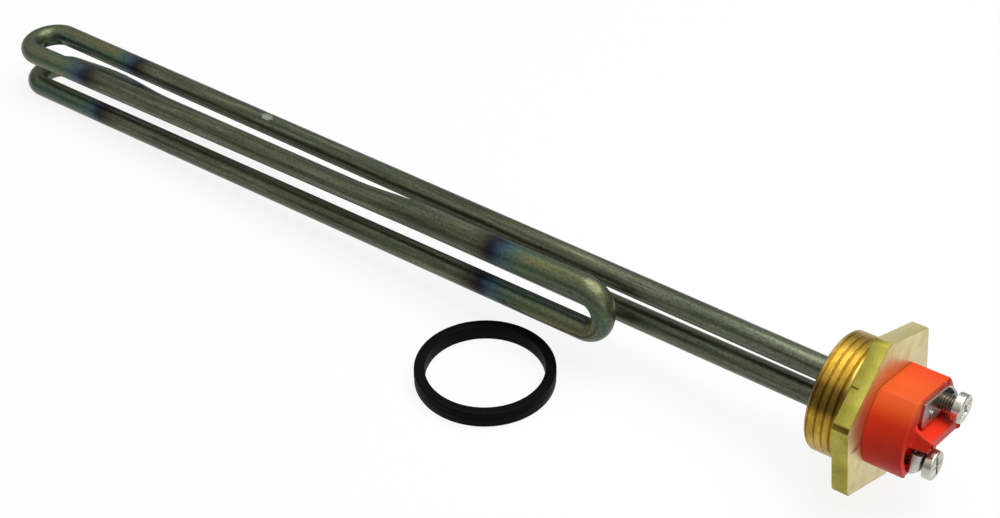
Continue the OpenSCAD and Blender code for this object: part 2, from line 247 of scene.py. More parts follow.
def buildBlotch():
    # soft uneven patches: a broad noise and a share of a finer one, spread about their middle to 0..1
    finer, share, middle = 5.3, 0.4, 0.7
    tree, given, out = newGroup("blotch", [("Vector", "Vector", None), ("Scale", "Float", 60.0),
                                           ("Spread", "Float", 0.25)], ["Mask"])
    broad = noise(tree, given["Vector"], given["Scale"], 3.0)
    fine = noise(tree, given["Vector"], calc(tree, "MULTIPLY", given["Scale"], finer), 5.0, 0.65)
    both = calc(tree, "MULTIPLY_ADD", fine, share, broad)
    low, high = (calc(tree, how, middle, given["Spread"]) for how in ("SUBTRACT", "ADD"))
    tree.links.new(mapped(tree, both, low, high), out["Mask"])
    return tree


def buildDrawLines():
    # fine lines along one direction: noise whose coordinates are squeezed along it
    finer, low, high = 3.7, 0.3, 0.7
    tree, given, out = newGroup("drawLines", [("Vector", "Vector", None), ("Stretch", "Vector", (1, 1, 1)),
                                              ("Scale", "Float", 1.0)], ["Mask", "Fine"])
    run = vectorCalc(tree, "MULTIPLY", given["Vector"], given["Stretch"])["Vector"]
    broad = noise(tree, run, given["Scale"], 4.0, 0.6)
    fine = noise(tree, run, calc(tree, "MULTIPLY", given["Scale"], finer), 6.0, 0.7)
    tree.links.new(mapped(tree, broad, low, high), out["Mask"])
    tree.links.new(fine, out["Fine"])
    return tree


blotch, drawLines = buildBlotch(), buildDrawLines()


def newMaterial(name):
    material = bpy.data.materials.new(name)
    material.use_nodes = True
    tree = material.node_tree
    return material, tree, tree.nodes["Principled BSDF"]


def ownPlace(tree):
    return put(tree, "TexCoord").outputs["Object"]


def patches(tree, place, scale, spread=0.3):
    return placeGroup(tree, blotch, Vector=place, Scale=scale, Spread=spread)["Mask"]


def attribute(tree, name):
    return put(tree, "Attribute", {"attribute_name": name}).outputs["Fac"]


def bumped(tree, height, strength, distance):
    return put(tree, "Bump", Height=height, Strength=strength, Distance=distance * mm).outputs["Normal"]


def spotMask(tree, place, spot, most):
    # a small ragged mark, given by its middle and its reach in millimetres: most inside, 0 outside
    middle, reach = (np.array(spot) * mm).tolist()
    off = vectorCalc(tree, "DIVIDE", vectorCalc(tree, "SUBTRACT", place, middle)["Vector"], reach)["Vector"]
    ragged = scaled(tree, noise(tree, place, 900.0, 3.0), -0.5, 0.5)
    far = calc(tree, "ADD", vectorCalc(tree, "LENGTH", off)["Value"], ragged)
    return mapped(tree, far, 1.15, 0.85, 0.0, most)


# camera fitted to the picture: places in millimetres, directions in the part's frame
camera = dict(place=(145.237, -322.303, 303.033), right=(0.78903, 0.61309, -0.03946),
              up=(-0.33786, 0.48666, 0.80561), forward=(-0.51311, 0.62232, -0.59113),
              focalPixels=1784, pictureWidth=1000, centreOff=(-0.42, -4.37), sensor=36, clip=(0.01, 20))


def makeCamera(c):
    data = bpy.data.cameras.new("camera")
    data.sensor_width = c["sensor"]
    data.lens = c["focalPixels"] / c["pictureWidth"] * c["sensor"]
    data.shift_x = -c["centreOff"][0] / c["pictureWidth"]
    data.shift_y = c["centreOff"][1] / c["pictureWidth"]
    data.clip_start, data.clip_end = c["clip"]
    eye = bpy.data.objects.new("camera", data)
    axes = Matrix((c["right"], c["up"], -Vector(c["forward"]))).transposed()
    eye.matrix_world = Matrix.Translation(Vector(c["place"]) * mm) @ axes.to_4x4()
    scene.collection.objects.link(eye)
    scene.camera = eye


makeCamera(camera)
print("camera set")


# sheathed tube: corners of its centre line in millimetres, from the upper terminal to the middle of the route
sheath = dict(radius=3.4, wall=0.6, around=64, step=3, gentleR=60, gentleStations=6, bendStations=56,
              corners=((7.4, 0, 4.95), (-14.7, 0, 4.95), (-319.6, 6, 6.25), (-319.6, -9, 6.25),
                       (-76.7, -10.2, 6.65)),
              # a turn of more radians than this is half of a return bend, which is oval: wider across its
              # plane and flatter in it, eased over some stations either way
              tightTurn=0.8, bendWide=0.05, bendFlat=0.035, bendEase=4,
              # pressed wide and standing proud: the upper leg into the near fold, between the ends in x and
              # the heights in z, and the lower plug leg beside its far bend, by middle and half length in x
              foldPress=dict(ends=(-168, -140), heights=(-6, 5), wide=0.18, proud=0.65,
                             way=(0, 0.689, 0.725)),
              bendPress=dict(middle=-292, half=26, wide=0.2, proud=0.6, way=(0, 0.8, 0.6)),
              # where the colour changes, as x on the leg: by the far bends on the four legs from the upper
              # plug leg to the lower one, and by the near fold on the two legs between
              farFronts=(-274.5, -284.0, -279.0, -278.0), nearFronts=(-114.0, -118.5),
              # rubbed spot: middle, reach in x, y and z
              scuff=((-215.2, 3.4, 9.4), (2.2, 1.5, 1.5)))


def sheathPath(s):
    # centre line: straight runs, gentle bends and round return bends, as stations with the
    # plane each bend lies in and how far it is bent there (0 straight, 1 in the bend)
    half = np.array(s["corners"], float)
    route = np.concatenate([half, half[::-1] * [1, 1, -1]])
    heading = unit(np.diff(route, axis=0))
    turn = np.arccos(np.clip(np.sum(heading[:-1] * heading[1:], -1), -1, 1))  # at corners 1..n-2
    stations, planes, bent = [], [], []
    start, k, last = route[0], 1, len(route) - 1

    def run(a, b):
        t = np.linspace(0, 1, max(2, int(np.linalg.norm(b - a) / s["step"])))[:, None]
        stations.append(a + (b - a) * t)
        planes.append(np.zeros((len(t), 3)))
        bent.append(np.zeros(len(t)))

    def arc(centre, outward, along, r, fromA, toA, count, weight):
        a = np.linspace(fromA, toA, count + 2)[1:-1, None]
        stations.append(centre + r * (outward * np.cos(a) + along * np.sin(a)))
        planes.append(np.tile(unit(np.cross(outward, along)), (count, 1)))
        bent.append(np.full(count, weight))

    while k < last:
        if turn[k - 1] > s["tightTurn"]:
            along = heading[k]
            r = np.linalg.norm(route[k + 1] - route[k]) / (np.tan(turn[k - 1] / 2) + np.tan(turn[k] / 2))
            back = heading[k - 1] - heading[k + 1]
            outward = unit(back - along * (back @ along))
            run(start, route[k] - heading[k - 1] * r * np.tan(turn[k - 1] / 2))
            crown = route[k] + along * r * np.tan(turn[k - 1] / 2)
            arc(crown - outward * r, outward, along, r, -turn[k - 1], turn[k], s["bendStations"], 1.0)
            start = route[k + 1] + heading[k + 1] * r * np.tan(turn[k] / 2)
            k += 2
        else:
            r, along = s["gentleR"], heading[k - 1]
            outward = np.cross(along, unit(np.cross(along, heading[k])))
            back = r * np.tan(turn[k - 1] / 2)
            run(start, route[k] - along * back)
            centre = route[k] - along * back - outward * r
            arc(centre, outward, along, r, 0, turn[k - 1], s["gentleStations"], 0.0)
            start = route[k] + heading[k] * back
            k += 1
    run(start, route[-1])
    points, planes, bent = np.concatenate(stations), np.concatenate(planes), np.concatenate(bent)
    fresh = np.r_[True, np.linalg.norm(np.diff(points, axis=0), axis=1) > 1e-4]
    return points[fresh], planes[fresh], bent[fresh]


def nearestBend(plane):
    # every station takes the plane of the bend that is nearest along the tube
    order = np.arange(len(plane))
    inBend = np.linalg.norm(plane, axis=1) > 0
    before = np.maximum.accumulate(np.where(inBend, order, 0))
    after = np.minimum.accumulate(np.where(inBend, order, len(plane) - 1)[::-1])[::-1]
    return plane[np.where(order - before < after - order, before, after)]


def stretched(ring, way, share):
    # rings drawn out along each station's own way, by a share of what reaches that way
    return share * np.sum(ring * way[:, None], -1)[..., None] * way[:, None]


def makeSheath(s):
    # tube: circles carried along the centre line, out along the skin and back along the bore
    path, plane, bent = sheathPath(s)
    ahead = unit(np.gradient(path, axis=0))
    slant = np.array([0, 1, 1]) / np.sqrt(2)  # never along the tube, so the circles don't flip
    side = unit(slant - ahead * (ahead @ slant)[:, None])
    over = np.cross(ahead, side)
    length = np.r_[0, np.cumsum(np.linalg.norm(np.diff(path, axis=0), axis=1))]
    window = 2 * s["bendEase"] + 1
    ease = np.convolve(np.pad(bent, s["bendEase"], mode="edge"), np.ones(window) / window, "valid")
    ease = ease[:, None, None]
    plane = nearestBend(plane)
    angle = np.linspace(0, 2 * np.pi, s["around"], endpoint=False)
    ring = np.cos(angle)[None, :, None] * side[:, None] + np.sin(angle)[None, :, None] * over[:, None]
    ring = ring + stretched(ring, plane, s["bendWide"] * ease) - stretched(ring, np.cross(ahead, plane),
                                                                         s["bendFlat"] * ease)
    # the two pressed legs
    half, order = len(path) // 2, np.arange(len(path))
    farBends = np.argmin(path[:half, 0]), half + np.argmin(path[half:, 0])
    x, z = path[:, 0], path[:, 2]
    fold, bend = s["foldPress"], s["bendPress"]
    atFold = (order > farBends[0]) * (order < farBends[1]) * smoothStep(*fold["ends"], x)
    atFold = atFold * smoothStep(*fold["heights"], z)
    atBend = (order > farBends[1]) * (1 - smoothStep(0, bend["half"], np.abs(x - bend["middle"])))
    for press, weight in ((fold, atFold), (bend, atBend)):
        way = np.array(press["way"])
        way = weight[:, None] ** 0.5 * (way - ahead * (ahead @ way)[:, None])
        ring = ring + stretched(ring, way, press["wide"])
        path = path + press["proud"] * weight[:, None] ** 0.5 * way
    skin, bore = (path[:, None] + ring * r for r in (s["radius"], s["radius"] - s["wall"]))
    points = np.concatenate([skin, bore[::-1]])
    rows, cols = points.shape[:2]
    piece = newPiece("elementSheath", points, gridQuads(rows, cols, True, True)[:, ::-1], 50, merge=False)

    # signed distance in mm past the nearest colour front, positive towards the bend
    legX = path[:, 0]
    leg = np.searchsorted([farBends[0], half, farBends[1]], order, side="right")  # 0..3, four legs
    past = np.array(s["farFronts"])[leg] - legX
    near = legX - np.array(s["nearFronts"])[np.clip(leg - 1, 0, 1)]
    past = np.where((leg == 1) | (leg == 2), np.maximum(past, near), past)
    pointValues(piece, "pastFront", np.repeat(np.concatenate([past, past[::-1]]), cols))
    # own map: length in mm along, turn round the tube in mm across
    rowLength = np.concatenate([length, length[::-1]])
    i, j = np.meshgrid(np.arange(rows), np.arange(cols), indexing="ij")
    here, there = rowLength[i], rowLength[(i + 1) % rows]
    u = np.stack([here, here, there, there], -1)
    w = np.stack([j, j + 1, j + 1, j], -1) * (2 * np.pi * s["radius"] / cols)
    flat = np.stack([u, w], -1).reshape(-1, 4, 2)[:, ::-1]
    uv = piece.data.uv_layers.new(name="tubeRun")
    uv.data.foreach_set("uv", flat.reshape(-1).astype(np.float32))
    return piece


sheathPiece = makeSheath(sheath)
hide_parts("element_sheath")
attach(sheathPiece, "heater")

# oxidised drawn tube: lengthwise streaks with straw and smoky patches over them
sheathLook = dict(streaks=((0.0, (57, 63, 49)), (0.5, (95, 101, 80)), (1.0, (142, 148, 119))),
                  straw=(106, 102, 66), smoke=(66, 74, 62), most=0.4,
                  # the cold end by the plug has stayed paler, more so between these two x
                  cold=((0.0, (84, 90, 76)), (1.0, (146, 152, 130))), coldEnds=(-120, -45), coldMost=0.42,
                  # heat colours over a zone in mm past the front, whose edge a noise makes ragged
                  zone=(-15.5, 34.5), ragged=5.0,
                  heat=((0.22, (78, 74, 54)), (0.30, (60, 51, 37)), (0.345, (36, 31, 29)),
                        (0.38, (28, 33, 48)), (0.42, (47, 66, 86)), (0.47, (70, 96, 102)),
                        (0.53, (80, 106, 96))),
                  heatOn=((0.18, 0.0), (0.30, 0.75), (0.36, 0.95), (0.5, 0.95), (0.7, 0.8), (1.0, 0.6)),
                  # further on, teal, green and straw run lengthwise
                  tail=((0.1, (70, 97, 88)), (0.4, (90, 112, 86)), (0.9, (124, 118, 76))),
                  tailEnds=(0.48, 0.6),
                  fine=((0.3, 0.5), (0.7, 1.0)), fineMost=0.6, grain=((0.36, 0.6), (0.5, 0.86), (0.64, 1.0)),
                  rubbed=(158, 168, 152), rubbedMost=0.75)


def makeSheathFinish(look):
    material, tree, shader = newMaterial("oxidisedSheath")
    run = put(tree, "UVMap", {"uv_map": "tubeRun"}).outputs["UV"]
    place = ownPlace(tree)
    streak = placeGroup(tree, drawLines, Vector=run, Stretch=(0.03, 1.0, 1.0), Scale=0.8)
    gold = placeGroup(tree, drawLines, Vector=run, Stretch=(0.02, 0.3, 1.0), Scale=0.6)
    base = ramp(tree, streak["Mask"], look["streaks"])
    base = blended(tree, scaled(tree, gold["Mask"], 0.0, look["most"]), base, look["straw"])
    smoky = scaled(tree, patches(tree, place, 70.0, 0.22), 0.0, look["most"])
    base = blended(tree, smoky, base, look["smoke"])
    along = put(tree, "SeparateXYZ", Vector=place).outputs["X"]
    cold = mapped(tree, along, *(end * mm for end in look["coldEnds"]), 0.0, look["coldMost"])
    base = blended(tree, cold, base, ramp(tree, streak["Mask"], look["cold"]))
    rag = noise(tree, place, 140.0, 3.0)
    past = calc(tree, "MULTIPLY_ADD", rag, look["ragged"], attribute(tree, "pastFront"))
    zone = mapped(tree, past, *look["zone"])
    tail = ramp(tree, gold["Mask"], look["tail"])
    heat = blended(tree, mapped(tree, zone, *look["tailEnds"]), ramp(tree, zone, look["heat"]), tail)
    colour = blended(tree, ramp(tree, zone, look["heatOn"]), base, heat)
    colour = blended(tree, look["fineMost"], colour, ramp(tree, streak["Fine"], look["fine"]), "MULTIPLY")
    grain = noise(tree, place, 1300.0, 3.0, 0.6)
    colour = blended(tree, 1.0, colour, ramp(tree, grain, look["grain"]), "MULTIPLY")
    colour = blended(tree, spotMask(tree, place, sheath["scuff"], look["rubbedMost"]), colour, look["rubbed"])
    rough = calc(tree, "MULTIPLY_ADD", streak["Mask"], 0.12, 0.3)
    join(tree, shader, Base_Color=colour, Roughness=rough, Metallic=0.8, Specular_IOR_Level=0.35,
         Normal=bumped(tree, streak["Fine"], 0.3, 0.08))
    return material


sheathPiece.data.materials.append(makeSheathFinish(sheathLook))
print("sheath made,", len(sheathPiece.data.polygons), "faces")


# threaded barrel and hexagon, millimetres and degrees
plug = dict(threadR=16.6, threadLen=10.7, chamfer=0.7, pitch=2.209, depth=0.4, crest=0.62, root=0.08,
            runOut=1.2, reliefR=15.5, reliefLen=1.0, reliefStep=0.05, reliefEdge=0.35,
            hexAf=42, hexT=4.5, cornerTrim=0.45, hexTurn=8, edge=0.22, softEdge=0.3,
            boreR=3.5, legZ=4.95, around=288, threadRows=130, across=25,
            # dark nick on a side face: middle and reach in x, y and z; corners with a painted dark
            # reflection, counted from the top
            nick=((1.1, -13.9, 15.95), (1.2, 0.32, 0.32)), darkReflectCorners=(1, 4),
            # painted dark reflection, a band along the barrel: its middle and half width in degrees from +Y
            # towards +Z, full to a share of that width; and a painted highlight on the side face that faces
            # this way
            darkReflectBand=(149, 19), darkReflectFull=0.45, paintedLitSide=68)


def turnedCorner(p):
    # distance of the turned corners from the axis, and half the angle that each takes up
    r = p["hexAf"] / 2 / np.cos(np.pi / 6) - p["cornerTrim"]
    return r, np.pi / 6 - np.arccos(p["hexAf"] / 2 / r)


def hexOutline(p, angle, inset=0.0):
    # distance from the axis to a hexagon whose corners are turned off, at each angle from +Y towards +Z
    off = np.mod(angle - np.radians(90 + p["hexTurn"]), np.pi / 3) - np.pi / 6
    return np.minimum((p["hexAf"] / 2 - inset) / np.cos(off), turnedCorner(p)[0] - inset)


def plugAngles(p):
    # even angles, with the ends of the turned corners and the two level directions among them
    facet = turnedCorner(p)[1]
    corners = np.radians(90 + p["hexTurn"]) + np.arange(6) * np.pi / 3
    even = np.linspace(0, 2 * np.pi, p["around"], endpoint=False)
    every = np.concatenate([even, corners - facet, corners + facet])
    every = np.unique(np.round(np.mod(every, 2 * np.pi), 6))
    return every[np.r_[True, np.diff(every) > 1e-3]]


def threadRadius(p, angle, x):
    # helical V thread: flank height by the turn-shifted place along the pitch, cut by the end chamfer
    u = np.mod(x / p["pitch"] + angle / (2 * np.pi), 1)
    deep = np.clip((np.abs(2 * u - 1) - p["crest"]) / (1 - p["crest"] - p["root"]), 0, 1)
    lead = smoothStep(-p["reliefLen"], -p["reliefLen"] - p["runOut"], x)
    r = p["threadR"] - p["depth"] * (1 - (1 - deep) * lead)
    return np.minimum(r, p["threadR"] - p["chamfer"] + (x + p["threadLen"]))


def aroundX(x, r, angle):
    x = np.broadcast_to(x, np.broadcast(r, angle).shape)
    return np.stack([x, r * np.cos(angle), r * np.sin(angle)], -1)


def halfFace(p, angle, radius, x, flip):
    # half of a round or six-sided face with the leg's bore in it: straight lines from the bore to the outline
    keep = angle <= np.pi + 1e-4
    rim = np.stack([radius[keep] * np.cos(angle[keep]), radius[keep] * np.sin(angle[keep])], -1)
    across = np.stack([np.linspace(rim[-1, 0], rim[0, 0], p["across"])[1:-1], np.zeros(p["across"] - 2)], -1)
    rim = np.concatenate([rim, across])
    centre = np.array([0, p["legZ"]])
    hole = centre + p["boreR"] * unit(rim - centre)
    return [np.concatenate([np.full((len(flat), 1), x), flip * flat], 1) for flat in (hole, rim)]


def makePlug(p):
    angle = plugAngles(p)
    level = np.ones_like(angle)
    threadX = np.linspace(-p["threadLen"], -p["reliefLen"], p["threadRows"])[:, None]
    rows = [aroundX(threadX, threadRadius(p, angle[None], threadX), angle[None])]
    e, soft = p["edge"], p["edge"] * p["softEdge"]
    profile = [(-p["reliefLen"] + p["reliefStep"], p["reliefR"] * level),
               (-p["reliefEdge"], p["reliefR"] * level),
               (0, (p["reliefR"] + p["reliefEdge"]) * level), (0, hexOutline(p, angle, e)),
               (soft, hexOutline(p, angle, soft)), (e, hexOutline(p, angle)),
               (p["hexT"] - e, hexOutline(p, angle)), (p["hexT"] - soft, hexOutline(p, angle, soft)),
               (p["hexT"], hexOutline(p, angle, e))]
    rows += [aroundX(x, r, angle)[None] for x, r in profile]
    body = np.concatenate(rows)
    grids = [(body, gridQuads(*body.shape[:2], wrapCols=True))]
    for flip in (1, -1):
        backHole, backRim = halfFace(p, angle, np.linalg.norm(body[0, :, 1:], axis=-1), -p["threadLen"], flip)
        frontHole, frontRim = halfFace(p, angle, hexOutline(p, angle, e), p["hexT"], flip)
        grids += [ruled(backHole, backRim), ruled(frontHole, frontRim), ruled(backHole, frontHole)]
    return newPiece("screwPlug", *joined(*grids), sharpAngle=40)


def markPlug(piece, p):
    # side faces, barrel, end face and turned corners have finishes of their own; two of the corners take a
    # darker copy, a painted dark reflection
    sideFace, barrel, endFace, darkReflectCorner, paleCorner, near = 0, 1, 2, 3, 4, 0.01
    centres = np.empty(len(piece.data.polygons) * 3)
    piece.data.polygons.foreach_get("center", centres)
    x, y, z = centres.reshape(-1, 3).T / mm
    turn = np.arctan2(z, y)
    offCorner = np.mod(turn - np.radians(90 + p["hexTurn"]) + np.pi / 6, np.pi / 3) - np.pi / 6
    corner = np.round((np.degrees(turn) - 90 - p["hexTurn"]) / 60) % 6
    isCorner = (np.abs(offCorner) < turnedCorner(p)[1]) & (np.hypot(y, z) > p["hexAf"] / 2 - 1)
    kind = np.where(isCorner, np.where(np.isin(corner, p["darkReflectCorners"]), darkReflectCorner, paleCorner), sideFace)
    kind = np.where(x < -near, barrel, np.where(x > p["hexT"] - near, endFace, kind))
    piece.data.polygons.foreach_set("material_index", kind)
    # how deep each point of the barrel lies in the thread, 0 on the crests to 1 in the roots, and the painted
    # dark reflection band on it
    where = np.empty(len(piece.data.vertices) * 3)
    piece.data.vertices.foreach_get("co", where)
    x, y, z = where.reshape(-1, 3).T / mm
    deep = np.clip((p["threadR"] - np.hypot(y, z)) / p["depth"], 0, 1)
    middle, half = p["darkReflectBand"]
    off = np.abs(np.mod(np.degrees(np.arctan2(z, y)) - middle + 180, 360) - 180)
    darkBand = 1 - smoothStep(half * p["darkReflectFull"], half, off)
    for name, values in (("groove", deep), ("darkReflectBand", darkBand)):
        pointValues(piece, name, np.where(x < -near, values, 0))


plugPiece = makePlug(plug)
markPlug(plugPiece, plug)
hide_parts("screw_plug")
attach(plugPiece, "heater")

# brass: dull, middle and bright tone, least and most roughness, strength of the turning lines
brass = {"millFaceBrass": ((134, 127, 50), (157, 150, 64), (178, 170, 82), 0.36, 0.48, 0.12),
         "threadBrass": ((144, 111, 38), (173, 140, 51), (199, 169, 75), 0.3, 0.4, 0.12),
         "endFaceBrass": ((198, 182, 124), (217, 203, 148), (227, 214, 162), 0.36, 0.46, 0.1),
         # a darker copy of the corner brass: painted dark reflection on two turned corners
         "darkReflectCornerBrass": ((84, 68, 20), (104, 87, 28), (128, 108, 44), 0.3, 0.42, 0.1),
         "cornerBrass": ((104, 95, 34), (122, 113, 44), (140, 130, 58), 0.4, 0.5, 0.1)}
# what lies over it: painted shade in the thread's roots, a painted highlight along its crest edges, a painted
# dark reflection band, the nick, and a painted highlight on the upward side face
brassMarks = dict(root=((0.15, 1.0), (0.9, (222, 206, 180))), crestHighlightOn=((0.02, 0.0), (0.3, 0.7), (0.6, 0.0)),
                  crest=(234, 214, 146), darkReflectBand=(84, 60, 22), darkReflectOn=(0.85, 0.55), nick=(70, 58, 22),
                  nickOn=0.9, paintedLit=(216, 205, 142), paintedLitWithin=(0.2, 0.05))


def makeBrass(name, dull, mid, bright, roughLow, roughHigh, lineStrength, marks):
    # broad uneven tarnish over fine turning lines round the axis
    material, tree, shader = newMaterial(name)
    place = ownPlace(tree)
    patch = patches(tree, place, 210.0)
    line = placeGroup(tree, drawLines, Vector=place, Stretch=(1.0, 0.25, 0.25), Scale=900.0)
    colour = ramp(tree, patch, ((0.0, dull), (0.5, mid), (1.0, bright)))
    colour = blended(tree, 0.25, colour, ramp(tree, line["Fine"], ((0.3, 0.7), (0.7, 1.0))), "MULTIPLY")
    # painted shade darkens the thread's roots, and a painted highlight runs along the flanks by the crests
    groove = attribute(tree, "groove")
    colour = blended(tree, 1.0, colour, ramp(tree, groove, marks["root"]), "MULTIPLY")
    colour = blended(tree, ramp(tree, groove, marks["crestHighlightOn"]), colour, marks["crest"])
    # painted dark reflection: a darker band along the barrel, broken up by the patches
    darkBand = calc(tree, "MULTIPLY", attribute(tree, "darkReflectBand"), scaled(tree, patch, *marks["darkReflectOn"]))
    colour = blended(tree, darkBand, colour, marks["darkReflectBand"])
    if name == "millFaceBrass":
        colour = blended(tree, spotMask(tree, place, plug["nick"], marks["nickOn"]), colour, marks["nick"])
        # painted highlight: the side face that faces up is made paler
        facing = np.radians(plug["paintedLitSide"])
        out = vectorCalc(tree, "DOT_PRODUCT", place, (0, np.cos(facing), np.sin(facing)))["Value"]
        low, high = (plug["hexAf"] / 2 * mm - within * mm for within in marks["paintedLitWithin"])
        colour = blended(tree, mapped(tree, out, low, high), colour, marks["paintedLit"])
    join(tree, shader, Base_Color=colour, Metallic=1.0, Roughness=scaled(tree, patch, roughHigh, roughLow),
         Normal=bumped(tree, line["Mask"], lineStrength, 0.04))
    return material


for name, look in brass.items():
    plugPiece.data.materials.append(makeBrass(name, *look, brassMarks))
print("plug made,", len(plugPiece.data.polygons), "faces")


# moulded block in its own frame: z out from the hexagon's face, x along the flats, y across them
block = dict(base=4.5, turn=-12, radius=14.2, flat=11.1, height=11, rim=0.7, bottomEdge=0.25, corner=0.4,
             shelf=10.6, floorAt=6, wall=2, recessBack=7.8, shelfEnd=7.2, shelfFrom=3.7, cutTo=8.3,
             barrierHalf=1.7, barrierTop=8.8, barrierFoot=9.8, slopeFrom=10, barrierHeight=15.5,
             barrierEdge=0.55, buttress=3.9, buttressDrop=0.4, fillet=0.6, pin=(-1.03, 4.84, 1.3),
             sheathEnd=(3.5, 3.0), screwHole=(4.5, 6.5, 2.9, 5.5), cell=0.24, margin=0.5,
             # how far the hollow runs under the barrier and the recess past the shelf, and smaller roundings
             hollowUnder=0.5, recessPast=0.3, hollowCorner=0.6, hollowEnd=0.3, hollowEdge=0.5, shelfEdge=0.3,
             hollowFloor=0.5, hollowRim=0.35, recessCorner=0.3, recessFloor=0.12, recessRim=0.22,
             buttressEdge=0.45, buttressFillet=0.7, barrierBottom=0.2, holeEdge=0.15)


def blockFrame(b, half):
    # columns turn the block's own directions into the part's; half 0 is the upper terminal, 1 the lower one
    t = np.radians(b["turn"] + 180 * half)
    return np.array([[0, 0, 1], [np.cos(t), -np.sin(t), 0], [np.sin(t), np.cos(t), 0]])


def blockField(b):
    def field(p):
        x, y, z = np.moveaxis(p, -1, 0)
        away = np.hypot(x, y)
        # both terminals are alike, half a turn apart: along and across are the nearer one's own places
        along, across = np.where(y >= 0, x, -x), np.abs(y)
        body = roundMax(away - b["radius"], across - b["flat"], b["corner"])
        body = roundMax(roundMax(body, z - b["height"], b["rim"]), -z, b["bottomEdge"])
        # hollow beside and under the shelves
        walls = roundMax(away - b["radius"] + b["wall"], across - b["flat"] + b["wall"], b["hollowCorner"])
        ends = roundMax(-along - b["recessBack"], b["barrierHalf"] - b["hollowUnder"] - across,
                        b["hollowEnd"])
        hollow = roundMax(walls, ends, b["hollowEdge"])
        shelf = np.maximum(along - b["shelfEnd"], b["shelfFrom"] - across)
        hollow = roundMax(hollow, -shelf, b["shelfEdge"])
        body = roundMax(body, -roundMax(hollow, b["floorAt"] - z, b["hollowFloor"]), b["hollowRim"])
        # recess over each shelf
        recess = roundMax(slab(along, -b["recessBack"], b["cutTo"]),
                          b["shelfFrom"] - b["recessPast"] - across, b["recessCorner"])
        body = roundMax(body, -roundMax(recess, b["shelf"] - z, b["recessFloor"]), b["recessRim"])
        # barrier with sloping ends and buttresses
        run, rise = b["barrierFoot"] - b["barrierTop"], b["barrierHeight"] - b["slopeFrom"]
        lean = ((np.abs(x) - b["barrierFoot"]) * rise + (z - b["slopeFrom"]) * run) / np.hypot(rise, run)
        ends = np.maximum(np.abs(x) - b["barrierFoot"], lean)
        plate = roundMax(across - b["barrierHalf"], z - b["barrierHeight"], b["barrierEdge"])
        down, out = b["barrierHeight"] - b["buttressDrop"] - b["height"], b["buttress"] - b["barrierHalf"]
        slant = ((across - b["buttress"]) * down + (z - b["height"]) * out) / np.hypot(down, out)
        buttress = roundMax(along + b["recessBack"], slant, b["buttressEdge"])
        plate = roundMax(ends, roundMin(plate, buttress, b["buttressFillet"]), b["barrierEdge"])
        body = roundMin(body, roundMax(plate, -z, b["barrierBottom"]), b["fillet"])
        # holes for the cold pins, the ends of the sheath and the screws
        pinX, pinY, pinR = b["pin"]
        fromPin = np.hypot(along - pinX, across - pinY)
        holeX, holeY, holeR, holeFloor = b["screwHole"]
        for hole in (fromPin - pinR, np.maximum(fromPin - b["sheathEnd"][0], z - b["sheathEnd"][1]),
                     np.maximum(np.hypot(along - holeX, across - holeY) - holeR, holeFloor - z)):
            body = roundMax(body, -hole, b["holeEdge"])
        return body
    return field


blockPiece = netPiece("terminalBlock", blockField(block), (-block["radius"], -block["flat"], 0),
                      (block["radius"], block["flat"], block["barrierHeight"]), block["margin"],
                      block["cell"], (block["base"], 0, 0), blockFrame(block, 0))
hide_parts("terminal_block")
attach(blockPiece, "heater")

# plastic whose colour by height is painted light: redder and brighter low down, making up for the shade on
# the lower walls, and more orange towards the top as a painted lit sheen; between two heights in millimetres
moulding = dict(heights=(-12, 12), deep=(170, 36, 20), deepMost=0.12,
                paintedLightTones=((0.0, (252, 52, 34)), (0.35, (246, 50, 31)), (0.66, (236, 53, 27)),
                       (0.82, (225, 56, 25)), (0.9, (229, 78, 32)), (0.96, (231, 92, 37))))


def makeMoulding(look):
    # glossy moulded plastic: colour by height that is painted light, a little unevenness of colour, a faint
    # orange-peel skin
    material, tree, shader = newMaterial("orangeMoulding")
    place = ownPlace(tree)
    patch = patches(tree, place, 110.0)
    height = put(tree, "SeparateXYZ", Vector=place).outputs["Z"]
    colour = ramp(tree, mapped(tree, height, *(h * mm for h in look["heights"])), look["paintedLightTones"])
    colour = blended(tree, scaled(tree, patch, look["deepMost"], 0.0), colour, look["deep"])
    join(tree, shader, Base_Color=colour, Roughness=scaled(tree, patch, 0.42, 0.32), Specular_IOR_Level=0.16,
         Normal=bumped(tree, noise(tree, place, 1400.0, 2.0), 0.12, 0.05))
    return material


blockPiece.data.materials.append(makeMoulding(moulding))
print("block made,", len(blockPiece.data.polygons), "faces")


# plated strap in the block's own frame: sheet with a lip bent up and back beyond the screw
strap = dict(thick=0.85, fromX=-6.0, toX=8.1, inner=2.0, outer=9.35, lipFrom=3.65, stepAt=4.9,
             innerRound=1.8, stepFillet=0.35, low=10.6, high=14.0, bendR=0.9, innerBendR=0.15, back=1.9,
             cut=(1.5, 1.8), edge=0.13, screwR=2.45, holeEdge=0.1, cell=0.13)
# plated screw along z of the block's own frame, its head above the lip by the gap
screw = dict(headR=4.0, headH=2.45, topEdge=0.65, lowEdge=0.2, slotHalf=0.5, slotDepth=0.55, slotReach=3.3,
             slotEnd=0.2, crossHalf=0.55, crossDepth=1.3, crossReach=2.3, taper=0.45, sideTaper=0.3,
             driveEdge=0.1, cell=0.11, shankR=2.4, pitch=0.8, depth=0.42, crest=0.12, flank=0.72, neck=0.12,
             runOut=(-0.15, -0.7), length=8, tip=0.5, around=96, rows=220, into=0.3)
terminals = {"Upper": dict(half=0, gap=1.35, driveTurn=35, body="upper_screw",
                           nodes=("terminal_strap_upper", "terminal_screw_upper")),
             "Lower": dict(half=1, gap=0.55, driveTurn=110, body="lower_screw",
                           nodes=("terminal_strap_lower", "terminal_screw_lower"))}
terminalMargin = 0.4


